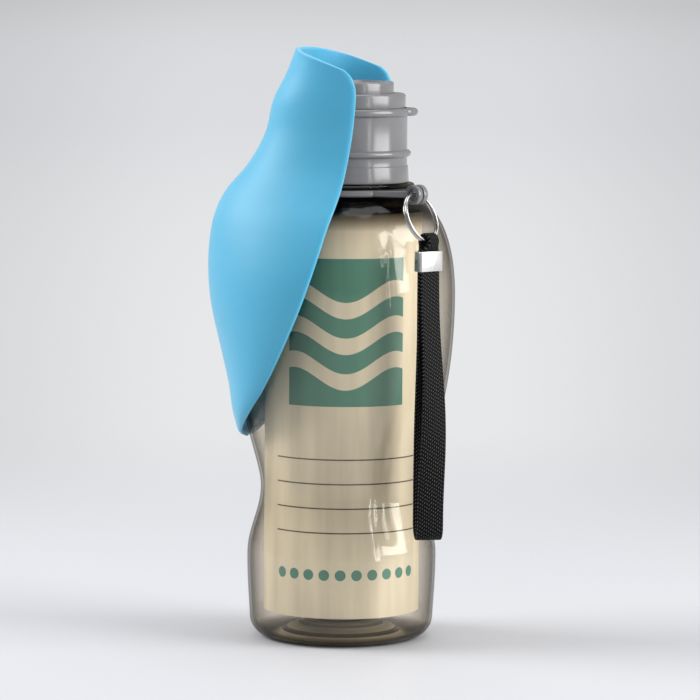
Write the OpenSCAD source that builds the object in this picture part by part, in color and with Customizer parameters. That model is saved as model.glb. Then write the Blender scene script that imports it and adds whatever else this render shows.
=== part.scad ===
// Travel water bottle for a dog. A squeezable hourglass bottle carries a screw cap with a
// twist valve. A soft leaf-shaped bowl pivots on the cap and hangs down one side, and a
// ring under the cap carries a split ring and a webbing wrist strap.
// Millimetres, +Z up. The origin is the centre of the foot. The leaf hangs on the -X side.

/* [Bottle] */
// Outer radius of the flat foot ring
foot_r = 26; // [23:0.5:28]
// Width of the flat foot ring
foot_w = 2.5; // [1.5:0.5:4]
// Radius of the round between the foot and the side
base_round = 8; // [5:0.5:10]
// Rise of the hollow under the base
punt_h = 6; // [3:0.5:9]
// Largest radius of the lower lobe
lower_r = 35; // [34:0.5:38]
// Height of the lower lobe's widest point
lower_z = 31; // [26:1:36]
// Radius of the waist
waist_r = 30.1; // [29.5:0.1:32]
// Height of the waist
waist_z = 56; // [52:1:60]
// Largest radius of the upper lobe
upper_r = 41.3; // [40.5:0.1:41.6]
// Height of the upper lobe's widest point
upper_z = 127; // [124:1:130]
// Height where the shoulder meets the neck
shoulder_z = 164.3; // [163.5:0.1:166]
// Thickness of the blown wall
bottle_wall = 1; // [0.6:0.1:1.4]

/* [Neck] */
// Wall of the neck
neck_wall = 1.6; // [1.2:0.1:2.2]
// Reach of the support bead past the cap's tube
bead_out = 2.8; // [2:0.1:3.2]
// Height of the support bead
bead_h = 1.4; // [1:0.1:2]

/* [Cap] */
// Radius of the plain tube of the cap
tube_r = 23.1; // [22.5:0.1:24]
// Wall of the tube
tube_wall = 1.8; // [1.4:0.1:2.2]
// Height of the cap below its flange
tube_h = 24.5; // [22:0.1:27]
// Reach of the skirt past the tube
skirt_out = 0.7; // [0.4:0.1:1.2]
// Height of the skirt
skirt_h = 6.2; // [4:0.2:8]
// Reach of the grip bead past the tube
grip_out = 1.4; // [0.8:0.1:1.6]
// Height of the grip bead
grip_h = 2.5; // [1.6:0.1:3]
// Height of the grip bead above the bottom of the cap
grip_z = 9.5; // [8:0.5:12]
// Reach of the flange past the tube
flange_out = 1.3; // [0.8:0.1:1.4]
// Height of the flange
flange_h = 2.9; // [2.4:0.1:3.4]
// Reach of the thumb tab past the flange
tab_out = 2.6; // [2:0.1:4]
// Radius of the thumb tab's round
tab_r = 9; // [7:0.5:10]
// Thickness of the deck that closes the cap over the neck
deck_h = 2.5; // [2:0.1:3]
// Radius of the round water ports in the deck
port_r = 2.2; // [1.6:0.1:2.6]
// Number of water ports
port_count = 6; // [3:1:8]
// Depth of the deck's top below the flange
deck_drop = 2; // [1.6:0.1:4]
// Thickness of the seal between the neck and the deck
gasket_h = 2; // [1.6:0.1:2.4]

/* [Cover and valve] */
// Step in from the tube to the cover
cover_step = 0.7; // [0.6:0.1:1.2]
// Height of the cover
cover_h = 5.4; // [5:0.1:6]
// Radius of the round on the cover's top edge
cover_round = 1.2; // [0.6:0.1:1.6]
// Thickness of the cover's top
cover_top = 2.6; // [2:0.1:3]
// Depth of the recess that the knob turns in
recess_depth = 0.8; // [0.5:0.1:1]
// Step in from the cover to the twist knob
knob_step = 4.4; // [4:0.1:6]
// Height of the knob above the cover
knob_h = 4.3; // [3.6:0.1:5]
// Radius of the round on the knob's top edge
knob_round = 1; // [0.4:0.1:1.6]
// Radius of the valve stem
stem_r = 4.2; // [3.8:0.1:4.8]
// Radius of the water way through the stem
way_r = 2.2; // [1.6:0.1:2.4]
// Wall of the hub that the stem turns in
hub_wall = 2.3; // [1.8:0.1:2.8]
// Wire radius of the stem's seal rings
oring_r = 0.7; // [0.5:0.05:0.8]
// Thickness of the clip that holds the stem
clip_h = 0.8; // [0.6:0.1:1]

/* [Leaf bowl] */
// Thickness of the silicone
leaf_wall = 1.8; // [1.4:0.1:1.9]
// Turn of the leaf's opening toward the front, degrees
leaf_turn = 15; // [0:1:25]
// Radius of the pivot pins on the cover
pin_r = 1.4; // [1.2:0.05:1.6]
// Radius of the bushes that the pins turn in
bush_r = 2.5; // [2.3:0.05:2.55]
// Length of the bushes
bush_l = 2.1; // [1.5:0.1:2.2]

/* [Strap] */
// Reach of the strap ring past the cap's tube
ring_out = 2.9; // [2:0.1:3.6]
// Height of the strap ring
ring_h = 2.5; // [2:0.1:2.8]
// Direction of the lug, degrees from +X
lug_turn = -44; // [-50:1:-38]
// Distance of the lug's eye from the axis
lug_reach = 36.5; // [36:0.1:38]
// Outer radius of the lug
lug_r = 3.6; // [3.2:0.1:4]
// Length of the lug along its eye
lug_l = 5; // [4:0.1:6]
// Radius of the lug's eye
eye_r = 2.1; // [2:0.1:2.4]
// Outer radius of the split ring
split_r = 9.5; // [9.5:0.1:11]
// Radius of the split ring's wire
wire_r = 0.5; // [0.4:0.05:0.6]
// Lean of the split ring on the shoulder, degrees
split_lean = 22; // [22:1:28]
// Turn of the split ring out of the lug's line, degrees
split_turn = 10; // [0:1:12]
// Roll of the split ring to one side in the eye, degrees
split_roll = 12; // [0:1:14]
// Width of the webbing
web_w = 9.5; // [8:0.5:11]
// Thickness of the webbing
web_t = 1.2; // [0.9:0.1:1.4]
// Length that the strap hangs below the split ring
strap_drop = 108.4; // [80:0.2:120]
// Inner width of the hanging loop at the bottom
loop_gap = 9; // [8:0.5:11]
// Height of the loop's widest stretch above its bend
loop_straight = 40; // [25:1:50]
// Height of the crimp
crimp_h = 7.3; // [6:0.1:9]
// Thickness of the crimp's metal
crimp_t = 0.6; // [0.5:0.1:0.8]

/* [Card] */
// Radius of the rolled card
card_r = 28.8; // [27.5:0.1:28.9]
// Height of the card's lower edge
card_low = 10.5; // [9:0.5:11]
// Height of the card
card_h = 148; // [140:1:148]
// Thickness of the card
card_t = 0.4; // [0.3:0.1:0.5]
// Angle that the rolled card wraps
card_wrap = 350; // [300:1:356]

/* [Hidden] */
$fn = 96;
running_gap = 0.05;  // radial gap of a pin or stem in its bore
ring_seat = 0.05;    // how far the split ring's wire hangs below the middle of the eye
part_gap = 0.3;      // gap between moulded pieces
seat_gap = 0.2;      // gap between the cap's bottom and the bead
over = 1;            // how far a cut runs past the solid it cuts
arc_steps = 12;      // points in a quarter round
side_steps = 10;     // points along one smooth stretch of the bottle

// Lengths of the pulls that shape the bottle's curves, and the run of the hollow's slope.
lobe_pull = 9;
waist_pull = 11;
upper_pull = 42;
shoulder_rise = 19;
shoulder_run = 15;
punt_run = 8;
punt_crown = 1.6;

base_side_r = foot_r + base_round;
clip_bite = 0.8;     // depth of the clip's groove in the stem
clip_lift = 0.85;    // height of the clip above the deck
port_hole_r = 1.6;   // radius of the side holes in the hub and stem
ring_land = 0.1;     // plastic left between a seal ring and the end of its bore
neck_r = tube_r - tube_wall - part_gap;
bead_r = tube_r + bead_out;
skirt_r = tube_r + skirt_out;
grip_r = tube_r + grip_out;
flange_r = tube_r + flange_out;
tab_reach = flange_r + tab_out;
cover_r = tube_r - cover_step;
knob_r = cover_r - knob_step;
ring_r = tube_r + ring_out;
ring_z = shoulder_z + part_gap;
lug_z = ring_z + ring_h / 2;
bead_z = ring_z + ring_h + part_gap;
cap_z = bead_z + bead_h + seat_gap;
flange_z = cap_z + tube_h;
deck_z = flange_z - deck_drop - deck_h;
neck_top = deck_z - gasket_h;
cover_z = flange_z + flange_h;
cover_top_z = cover_z + cover_h;
recess_z = cover_top_z - recess_depth;
knob_z = recess_z + seat_gap;
knob_top_z = cover_top_z + knob_h;
hinge_z = cover_z + cover_h / 2;
chamber_r = cover_r - 2;
spigot_r = chamber_r - 2 * running_gap;
hub_r = stem_r + hub_wall;
clip_z = deck_z + deck_h + clip_lift;
hub_z = clip_z + clip_h + running_gap;
port_z = hub_z + port_hole_r + 1.7;
oring_low = hub_z + oring_r + ring_land;
oring_high = recess_z - oring_r - 0.9;
bush_y = cover_r + part_gap;
leaf_bow = 0.85;     // how far the leaf's inner face bows in beside the bushes
pin_reach = bush_y + bush_l - 2 * running_gap;

// The split ring's top passes through the eye, and the webbing hangs at the ring's lowest
// point, given in the lug's directions.
split_mid = split_r - wire_r;
split_side = split_mid * sin(split_roll);
split_down = ring_seat + split_mid * cos(split_roll);
split_drop = split_down + split_mid;
web_x = split_drop * sin(split_lean) * cos(split_turn) + split_side * sin(split_turn);
web_y = split_drop * sin(split_lean) * sin(split_turn) - split_side * cos(split_turn);
web_z = -split_drop * cos(split_lean);
web_gap = 0.1;
web_eye_w = 5;
web_eye_r = web_eye_w * web_eye_w / 8 / split_mid + web_eye_w / 2 * tan(split_turn)
    + 2 * wire_r + web_gap;
crimp_top = -web_eye_r - 1.4 * web_t;

// Points of a smooth stretch between two ends, leaving the first along da and reaching the
// second along db.
function stretch(a, da, b, db, n) =
    [for (i = [1 : n]) let (t = i / n, u = 1 - t)
        u * u * u * a + 3 * u * u * t * (a + da) + 3 * u * t * t * (b - db) + t * t * t * b];

// Points of a quarter round about a centre, from angle a0 to angle a1.
function round_points(centre, r, a0, a1, n) =
    [for (i = [0 : n]) let (a = a0 + (a1 - a0) * i / n) centre + r * [cos(a), sin(a)]];

// The bottle's outer side from the foot to the neck, as radius and height.
function bottle_side() = concat(
    round_points([foot_r, base_round], base_round, -90, 0, arc_steps),
    stretch([base_side_r, base_round], [0.4, base_round], [lower_r, lower_z], [0, lobe_pull],
            side_steps),
    stretch([lower_r, lower_z], [0, lobe_pull], [waist_r, waist_z], [0, lobe_pull], side_steps),
    stretch([waist_r, waist_z], [0, waist_pull], [upper_r, upper_z], [0, upper_pull],
            2 * side_steps),
    stretch([upper_r, upper_z], [0, shoulder_rise], [neck_r, shoulder_z], [-shoulder_run, 0.4],
            2 * side_steps));

// The same side moved inward by the wall, along the normal at each point.
function inward(p, d) =
    [for (i = [0 : len(p) - 1])
        let (a = p[max(i - 1, 0)], b = p[min(i + 1, len(p) - 1)], t = (b - a) / norm(b - a))
        p[i] + d * [-t[1], t[0]]];

function reversed(p) = [for (i = [len(p) - 1 : -1 : 0]) p[i]];

// A disc whose edge is one full round.
module round_disc(r, h) {
    rotate_extrude() polygon(concat([[0, 0]],
        round_points([r - h / 2, h / 2], h / 2, -90, 90, arc_steps), [[0, h]]));
}

// The bottle: outside, support bead, neck, then the inside back down to the hollow base.
module bottle_body() {
    outside = bottle_side();
    neck_in = neck_r - neck_wall;
    inside = [for (p = inward(outside, bottle_wall)) if (p[0] > neck_in && p[1] > bottle_wall) p];
    edge = 0.4;
    hollow_r = foot_r - foot_w - punt_run;
    hollow_z = punt_h - punt_crown;
    color("slategray", 0.6) rotate_extrude() polygon(concat(
        [[0, punt_h], [hollow_r, hollow_z], [foot_r - foot_w, 0]],
        outside,
        [[neck_r, bead_z], [bead_r - edge, bead_z], [bead_r, bead_z + edge],
         [bead_r, bead_z + bead_h - edge], [bead_r - edge, bead_z + bead_h],
         [neck_r, bead_z + bead_h], [neck_r, neck_top], [neck_in, neck_top],
         [neck_in, shoulder_z - neck_wall]],
        reversed(inside),
        [[foot_r - foot_w, bottle_wall], [hollow_r, hollow_z + bottle_wall],
         [0, punt_h + bottle_wall]]));
}

// The card is rolled into an open tube that the waist holds.
module info_card() {
    color("tan") translate([0, 0, card_low]) rotate([0, 0, 95])
        rotate_extrude(angle = card_wrap) translate([card_r - card_t, 0]) square([card_t, card_h]);
}

// Places children in the lug's frame: X outward, Y along the lug's eye, Z up.
module at_lug() {
    translate([lug_reach * cos(lug_turn), lug_reach * sin(lug_turn), lug_z])
        rotate([0, 0, lug_turn]) children();
}

module strap_ring() {
    root = ring_r - lug_reach - 2;
    groove_w = 0.8;
    groove_depth = 0.6;
    color("gray") difference() {
        union() {
            translate([0, 0, ring_z]) cylinder(r = ring_r, h = ring_h);
            at_lug() {
                translate([0, 0, -ring_h / 2]) linear_extrude(ring_h)
                    polygon([[root, lug_l * 2], [-lug_r / 2, lug_l / 2],
                             [-lug_r / 2, -lug_l / 2], [root, -lug_l * 2]]);
                difference() {
                    rotate([90, 0, 0]) cylinder(r = lug_r, h = lug_l, center = true);
                    rotate([90, 0, 0]) difference() {
                        cylinder(r = lug_r + over, h = groove_w, center = true);
                        cylinder(r = lug_r - groove_depth, h = groove_w + over, center = true);
                    }
                }
            }
        }
        translate([0, 0, ring_z - over]) cylinder(r = neck_r + part_gap, h = ring_h + 2 * over);
        at_lug() rotate([90, 0, 0]) cylinder(r = eye_r, h = lug_l + over, center = true);
    }
}

// Two touching coils of wire, hung through the lug's eye and leaning out over the shoulder.
module split_ring() {
    color("silver") at_lug() rotate([0, 0, split_turn]) rotate([0, -split_lean, 0])
        translate([0, -split_side, -split_down]) rotate([0, 90, 0]) rotate_extrude()
            for (s = [-1, 1])
            translate([split_mid, s * wire_r * 0.98]) circle(r = wire_r);
}

// Places children where the webbing hangs on the split ring, in the lug's directions.
module at_web() {
    at_lug() translate([web_x, web_y, web_z]) children();
}

// Side outline of the hanging webbing: an eye round the wire, two plies through the crimp
// and a loop that opens outward below it.
module wrist_strap() {
    ply = web_t + web_gap / 2;
    bend_r = loop_gap / 2 + web_t;
    bend_z = -strap_drop + bend_r;
    bend_x = bend_r - ply;
    color("dimgray") at_web() rotate([90, 0, 0]) {
        linear_extrude(web_eye_w, center = true) difference() {
            circle(r = web_eye_r + web_t);
            circle(r = web_eye_r);
        }
        linear_extrude(web_w, center = true) {
            translate([-ply, crimp_top - crimp_h]) square([web_t, crimp_h]);
            translate([web_gap / 2, crimp_top - crimp_h]) square([web_t, crimp_h]);
            translate([-ply, bend_z]) square([web_t, crimp_top - crimp_h - bend_z]);
            polygon([[web_gap / 2, crimp_top - crimp_h], [ply, crimp_top - crimp_h],
                     [bend_x + bend_r, bend_z + loop_straight], [bend_x + bend_r, bend_z],
                     [bend_x + bend_r - web_t, bend_z],
                     [bend_x + bend_r - web_t, bend_z + loop_straight]]);
            translate([bend_x, bend_z]) difference() {
                circle(r = bend_r);
                circle(r = bend_r - web_t);
                translate([-2 * bend_r, 0]) square([4 * bend_r, 2 * bend_r]);
            }
        }
        linear_extrude(web_eye_w, center = true) translate([-ply, crimp_top])
            square([2 * ply, -crimp_top - web_eye_r - web_t / 2]);
    }
}

// A metal band closed round the two plies.
module strap_crimp() {
    inner_w = web_w + 2 * web_gap;
    inner_t = 2 * web_t + 3 * web_gap;
    color("gainsboro") at_web() translate([0, 0, crimp_top - crimp_h]) linear_extrude(crimp_h)
        difference() {
            square([inner_t + 2 * crimp_t, inner_w + 2 * crimp_t], center = true);
            square([inner_t, inner_w], center = true);
        }
}

module cap_gasket() {
    color("whitesmoke") translate([0, 0, neck_top]) difference() {
        cylinder(r = neck_r, h = gasket_h);
        translate([0, 0, -over]) cylinder(r = neck_r - 1.5 * neck_wall, h = gasket_h + 2 * over);
    }
}

// The cap: flared skirt, plain tube with a grip bead, and a flange with a thumb tab. A deck
// with water ports closes it over the neck and leaves a chamber under the cover.
module cap_body() {
    skirt_taper = 0.4;
    color("gray") difference() {
        union() {
            translate([0, 0, cap_z]) rotate_extrude() polygon([
                [0, 0], [skirt_r, 0], [skirt_r - skirt_taper, skirt_h], [tube_r, skirt_h],
                [tube_r, tube_h + flange_h / 2], [0, tube_h + flange_h / 2]]);
            translate([0, 0, cap_z + grip_z]) round_disc(grip_r, grip_h);
            translate([0, 0, flange_z]) round_disc(flange_r, flange_h);
            translate([tab_reach - tab_r, 0, flange_z]) round_disc(tab_r, flange_h);
        }
        translate([0, 0, cap_z - over]) cylinder(r = neck_r + part_gap, h = deck_z - cap_z + over);
        translate([0, 0, deck_z + deck_h])
            cylinder(r = chamber_r, h = cover_z - deck_z - deck_h + over);
        for (i = [1 : port_count]) rotate([0, 0, i * 360 / port_count])
            translate([(hub_r + chamber_r) / 2, 0, deck_z - over])
                cylinder(r = port_r, h = deck_h + 2 * over);
    }
}

// The cover drops into the cap on a spigot, holds the valve's hub and carries the two pins
// that the leaf turns on.
module cap_cover() {
    spigot_t = 2;
    spigot_l = 3;
    color("gray") difference() {
        union() {
            rotate_extrude() polygon(concat(
                [[0, cover_z], [cover_r, cover_z]],
                round_points([cover_r - cover_round, cover_top_z - cover_round], cover_round,
                             0, 90, arc_steps / 2),
                [[0, cover_top_z]]));
            translate([0, 0, cover_z - spigot_l]) cylinder(r = spigot_r, h = spigot_l + over);
            translate([0, 0, hinge_z]) rotate([0, 0, -leaf_turn]) rotate([90, 0, 0])
                cylinder(r = pin_r, h = 2 * pin_reach, center = true);
        }
        difference() {
            translate([0, 0, cover_z - spigot_l - over])
                cylinder(r = spigot_r - spigot_t, h = cover_h - cover_top + spigot_l + over);
            translate([0, 0, hub_z]) cylinder(r = hub_r, h = cover_top_z - hub_z);
        }
        translate([0, 0, recess_z]) cylinder(r = knob_r + part_gap, h = recess_depth + over);
        translate([0, 0, hub_z - over]) cylinder(r = stem_r + running_gap, h = cover_h * 3);
        translate([0, 0, port_z]) rotate([0, 90, 0]) cylinder(r = port_hole_r, h = hub_r + over);
    }
    color("gray") translate([0, 0, hub_z]) difference() {
        cylinder(r = hub_r, h = cover_z - spigot_l - hub_z + over);
        translate([0, 0, -over]) cylinder(r = stem_r + running_gap, h = cover_h * 3);
    }
}

// A twist knob with a smooth side, a shallow dish and a pouring hole.
module valve_knob() {
    dish_h = 0.8;
    lip_w = 3;
    dish_slope = 1.2;
    color("gray") difference() {
        rotate_extrude() polygon(concat(
            [[0, knob_z], [knob_r, knob_z]],
            round_points([knob_r - knob_round, knob_top_z - knob_round], knob_round, 0, 90,
                         arc_steps / 2),
            [[knob_r - lip_w, knob_top_z], [knob_r - lip_w - dish_slope, knob_top_z - dish_h],
             [0, knob_top_z - dish_h]]));
        translate([0, 0, knob_z - over]) cylinder(r = stem_r + running_gap, h = 2 * over);
        translate([0, 0, knob_z]) cylinder(r = way_r, h = knob_h + 2 * over);
    }
}

// The stem hangs from the knob, turns in the hub and lets water in through one side.
module valve_stem() {
    groove_h = 2 * oring_r + 0.2;
    bottom = clip_z - clip_h;
    color("white") difference() {
        translate([0, 0, bottom]) cylinder(r = stem_r, h = knob_z + over - bottom);
        translate([0, 0, port_z - way_r]) cylinder(r = way_r, h = knob_z);
        translate([0, 0, port_z]) rotate([90, 0, 0]) cylinder(r = port_hole_r, h = stem_r + over);
        for (z = [oring_low, oring_high]) translate([0, 0, z - groove_h / 2]) difference() {
            cylinder(r = stem_r + over, h = groove_h);
            translate([0, 0, -over]) cylinder(r = stem_r - 2 * oring_r, h = groove_h + 2 * over);
        }
        translate([0, 0, clip_z]) difference() {
            cylinder(r = stem_r + over, h = clip_h);
            translate([0, 0, -over]) cylinder(r = stem_r - clip_bite, h = clip_h + 2 * over);
        }
    }
}

module seal_ring(z) {
    color("black") translate([0, 0, z]) rotate_extrude()
        translate([stem_r - oring_r, 0]) circle(r = oring_r);
}

module stem_oring_upper() { seal_ring(oring_high); }
module stem_oring_lower() { seal_ring(oring_low); }

// An open spring clip pushed into the stem's groove below the hub.
module stem_clip() {
    color("silver") translate([0, 0, clip_z]) rotate([0, 0, 30])
        rotate_extrude(angle = 300) translate([stem_r - clip_bite, 0]) square([2, clip_h]);
}

// Sections of the leaf from its tip to its blunt end. Each row holds the height at the back,
// the height at the rim, the distance of the back, the place of the rim, half the width and
// how square the section is. The rows beside the cap follow its flange, cover and height.
leaf_hug = bush_y + bush_l + leaf_wall + leaf_bow;
leaf_rows = [
    [73.4, 73.4, 37, -35.4, 3, 2],
    [76, 76, 37.9, -34.5, 14.5, 2],
    [80, 80, 38.9, -31.7, 21.5, 2],
    [86, 86, 40.1, -26.6, 30, 2],
    [95, 95, 41.6, -19.8, 36.4, 2],
    [107, 107, 44.8, -12.9, 41, 2],
    [124, 124, 49.2, -4.7, 44.6, 2],
    [139.5, 139.5, 50.6, 0.8, 44.3, 2],
    [154.5, 154.5, 49, 4.6, 40, 2.1],
    [165.5, 165.5, 44, 7.2, 33.8, 2.3],
    [cap_z + 6, cap_z + 6, flange_r + 11.2, 8.6, leaf_hug + 2.1, 2.5],
    [cover_z - 9.4, cover_z - 9.4, flange_r + 4.2, 10.2, leaf_hug + 0.1, 2.6],
    [cover_z + 2.6, cover_z + 1.6, flange_r + 1.2, 11.3, leaf_hug, 2.7],
    [cover_z + 12.2, cover_z + 7.6, flange_r - 3.8, 11.2, leaf_hug, 2.7],
    [cover_z + 18.8, cover_z + 11.8, flange_r - 6.6, 9.6, leaf_hug, 2.7],
    [cover_z + 22.3, cover_z + 14.3, flange_r - 8, 7, leaf_hug, 2.7]];
leaf_between = 3;  // sections drawn for each row
leaf_around = 22;  // points round one section

// A smooth curve through the rows, at row i plus the fraction t.
function row_at(i) = leaf_rows[max(0, min(len(leaf_rows) - 1, i))];
function leaf_section(i, t) =
    let (a = row_at(i - 1), b = row_at(i), c = row_at(i + 1), d = row_at(i + 2))
    0.5 * (2 * b + t * (c - a) + t * t * (2 * a - 5 * b + 4 * c - d)
           + t * t * t * (3 * b - a - 3 * c + d));

// Points of one section. The inner face keeps the wall from the outer one, less at the tip.
function leaf_points(s, wall) =
    let (long = s[3] + s[2], w = min(wall, long / 2.4, s[4] / 2.4))
    [for (k = [0 : leaf_around])
        let (a = -90 + 180 * k / leaf_around, c = pow(abs(cos(a)), 2 / s[5]),
             e = pow(abs(sin(a)), 2 / s[5]))
        [s[3] - (long - w) * c, (s[4] - w) * e * sign(a), s[1] + (s[0] - s[1]) * c]];

// A soft trough lofted through its sections, closed along the rims and at both ends.
module leaf_bowl() {
    last = len(leaf_rows) - 1;
    sections = [for (i = [0 : last - 1]) for (j = [0 : leaf_between - 1])
        leaf_section(i, j / leaf_between), leaf_rows[last]];
    rows = len(sections);
    ring = 2 * (leaf_around + 1);
    points = [for (s = sections) each concat(leaf_points(s, 0), reversed(leaf_points(s, leaf_wall)))];
    sides = [for (i = [0 : rows - 2]) for (k = [0 : ring - 1])
        let (a = i * ring + k, b = i * ring + (k + 1) % ring) each
        [[a, a + ring, b], [b, a + ring, b + ring]]];
    ends = [for (k = [0 : leaf_around - 1])
        let (a = k, b = k + 1, c = ring - 2 - k, d = ring - 1 - k, top = (rows - 1) * ring) each
        [[a, b, d], [b, c, d], [top + a, top + d, top + b], [top + b, top + d, top + c]]];
    color("lightsteelblue") rotate([0, 0, -leaf_turn]) polyhedron(points, concat(sides, ends));
}

// A hard bush fixed to the inside of the leaf's wall, turning on the cover's pin.
module leaf_bush(side) {
    color("lightgray") rotate([0, 0, -leaf_turn]) translate([0, side * bush_y, hinge_z])
        rotate([-90 * side, 0, 0]) difference() {
            cylinder(r = bush_r, h = bush_l);
            translate([0, 0, -over]) cylinder(r = pin_r + running_gap, h = bush_l + 2 * over);
        }
}

module leaf_bush_near() { leaf_bush(-1); }
module leaf_bush_far() { leaf_bush(1); }

bottle_body();
info_card();
strap_ring();
split_ring();
wrist_strap();
strap_crimp();
cap_gasket();
cap_body();
cap_cover();
valve_knob();
valve_stem();
stem_oring_upper();
stem_oring_lower();
stem_clip();
leaf_bowl();
leaf_bush_near();
leaf_bush_far();
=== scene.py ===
# %% [markdown]
# # A dog's travel water bottle
# The construction comes in as a fixed frame of solids with true sizes. This lesson dresses it:
# each solid that is seen gets a smooth modelled piece in its place, and every piece gets the
# finish of its own material. Its sizes are written in millimetres, and MM turns them to metres.

# %% Load the frame
import math

import bpy
from mathutils import Matrix, Vector


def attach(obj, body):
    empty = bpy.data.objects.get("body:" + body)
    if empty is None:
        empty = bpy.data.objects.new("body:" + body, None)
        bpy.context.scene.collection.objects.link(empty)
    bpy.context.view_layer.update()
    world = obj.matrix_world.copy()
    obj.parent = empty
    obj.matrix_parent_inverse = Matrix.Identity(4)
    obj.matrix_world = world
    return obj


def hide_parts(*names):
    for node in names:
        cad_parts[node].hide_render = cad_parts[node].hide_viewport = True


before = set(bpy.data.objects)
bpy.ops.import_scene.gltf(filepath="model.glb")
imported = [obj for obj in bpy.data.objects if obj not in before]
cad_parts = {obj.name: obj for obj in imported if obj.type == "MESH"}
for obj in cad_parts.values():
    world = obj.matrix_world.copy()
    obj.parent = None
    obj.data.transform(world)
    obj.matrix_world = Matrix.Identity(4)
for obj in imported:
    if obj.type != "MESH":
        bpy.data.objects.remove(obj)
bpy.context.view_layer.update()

# %% [markdown]
# ## Working by hand, in code
# A Blender operator acts on what is selected, so each piece starts with nothing selected. A piece
# is built where it belongs, and its place is then written into its mesh, so that patterns laid in
# object coordinates stay put.

# %% Selecting and editing
MM = 0.001
MERGE_WITHIN = 0.001 * MM


def start_piece():
    """Leaves edit mode and deselects everything, so that an operator acts on the new piece alone."""
    if bpy.context.object and bpy.context.object.mode != "OBJECT":
        bpy.ops.object.mode_set(mode="OBJECT")
    bpy.ops.object.select_all(action="DESELECT")


def named(name):
    """Names the piece that an operator has just added."""
    piece = bpy.context.object
    piece.name = piece.data.name = name
    return piece


def pick(*pieces):
    """Selects these pieces alone, and makes the first one active."""
    start_piece()
    for piece in pieces:
        piece.select_set(True)
    bpy.context.view_layer.objects.active = pieces[0]


def open_mesh():
    """Opens the active piece in edit mode, with all of its mesh selected."""
    bpy.ops.object.mode_set(mode="EDIT")
    bpy.ops.mesh.select_all(action="SELECT")


def close_mesh():
    """Goes back to object mode."""
    bpy.ops.object.mode_set(mode="OBJECT")


# %% Finishing a piece
def settle(piece, matrix=None):
    """Writes a piece's place into its mesh, after moving it by a matrix in metres."""
    pick(piece)
    bpy.context.view_layer.update()
    if matrix is not None:
        piece.matrix_world = matrix @ piece.matrix_world
    bpy.ops.object.transform_apply(location=True, rotation=True, scale=True)
    return piece


def tidy_faces(piece):
    """Merges doubled points and turns every face outward."""
    pick(piece)
    open_mesh()
    bpy.ops.mesh.remove_doubles(threshold=MERGE_WITHIN)
    bpy.ops.mesh.normals_make_consistent(inside=False)
    close_mesh()
    return piece


def smooth(piece, degrees=35):
    """Shades a piece smooth, but keeps its edges sharper than an angle crisp."""
    pick(piece)
    bpy.ops.object.shade_smooth_by_angle(angle=math.radians(degrees))
    return piece


def joined(*pieces):
    """Joins pieces into the first one."""
    pick(*pieces)
    bpy.ops.object.join()
    return pieces[0]


def finish_with(piece, name, kind, **settings):
    """Adds a modifier to the active piece and applies it."""
    modifier = piece.modifiers.new(name, kind)
    for key, value in settings.items():
        setattr(modifier, key, value)
    bpy.ops.object.modifier_apply(modifier=name)


# %% [markdown]
# ## Turned shapes
# A bottle, a screw cap and a knob are all bodies of revolution. The section is a ring of points
# on one side of the axis; Spin carries it round. Corners are given their moulding radius before
# the spin, since a real moulded edge is never sharp and its round is what catches the light.

# %% Sections and the spin
SPIN_STEPS = 128


def rounded(corners, steps=5):
    """Turns a closed outline of (radius, height, round) into points with an arc at each corner."""
    points = []
    for i, (x, z, r) in enumerate(corners):
        corner = Vector((x, z))
        if r == 0:
            points.append(corner)
            continue
        to_last = (Vector(corners[i - 1][:2]) - corner).normalized()
        to_next = (Vector(corners[(i + 1) % len(corners)][:2]) - corner).normalized()
        half = to_last.angle(to_next) / 2
        whole = math.pi - 2 * half
        centre = corner + (to_last + to_next).normalized() * r / math.sin(half)
        first = corner + to_last * r / math.tan(half) - centre
        last = corner + to_next * r / math.tan(half) - centre
        for k in range(steps + 1):
            share = k / steps
            a = math.sin((1 - share) * whole) / math.sin(whole)
            b = math.sin(share * whole) / math.sin(whole)
            points.append(centre + a * first + b * last)
    return points


def full_round(low, top):
    """Half the height of an edge, less a hair, so that the arcs of its two corners fit."""
    return (top - low) / 2 - 0.02


def turned(name, section, steps=SPIN_STEPS):
    """Spins a closed section, given as radius and height in mm, round the vertical axis."""
    start_piece()
    bpy.ops.mesh.primitive_circle_add(vertices=len(section), radius=10 * MM, fill_type="NOTHING")
    piece = named(name)
    for vertex, (r, z) in zip(piece.data.vertices, section):
        vertex.co = (r * MM, 0, z * MM)
    open_mesh()
    bpy.ops.mesh.spin(steps=steps, angle=math.tau, center=(0, 0, 0), axis=(0, 0, 1))
    close_mesh()
    return smooth(tidy_faces(piece))


# %% [markdown]
# ## Nodes
# One function adds any node. Colours are written as the hex values seen on a screen and turned to
# the linear values that the renderer works in. Every pattern is given by a real size in
# millimetres, and its scale is worked out from that.

# %% Node helper and colours
def linear(code):
    """Turns an sRGB hex colour to a linear RGBA value."""
    shares = [int(code[i : i + 2], 16) / 255 for i in (1, 3, 5)]
    return (*[c / 12.92 if c <= 0.04045 else ((c + 0.055) / 1.055) ** 2.4 for c in shares], 1)


def new_material(name):
    """Makes an empty material."""
    material = bpy.data.materials.new(name)
    material.use_nodes = True
    material.node_tree.nodes.clear()
    return material


def node(owner, kind, sockets=None, **settings):
    """
    Adds a node to a material or a world. Its sockets, by name or number, are given a value, an
    output to link, or a whole node, which means the first output that the node has in use.
    """
    made = owner.node_tree.nodes.new(kind)
    for name, value in settings.items():
        setattr(made, name, value)
    for key, value in (sockets or {}).items():
        if isinstance(value, bpy.types.Node):
            value = next(output for output in value.outputs if output.enabled)
        if isinstance(value, bpy.types.NodeSocket):
            owner.node_tree.links.new(value, made.inputs[key])
        else:
            made.inputs[key].default_value = value
    return made


def show(material, shader):
    """Ends a material with its output, which shows this shader."""
    node(material, "ShaderNodeOutputMaterial", {"Surface": shader})
    return material


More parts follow.
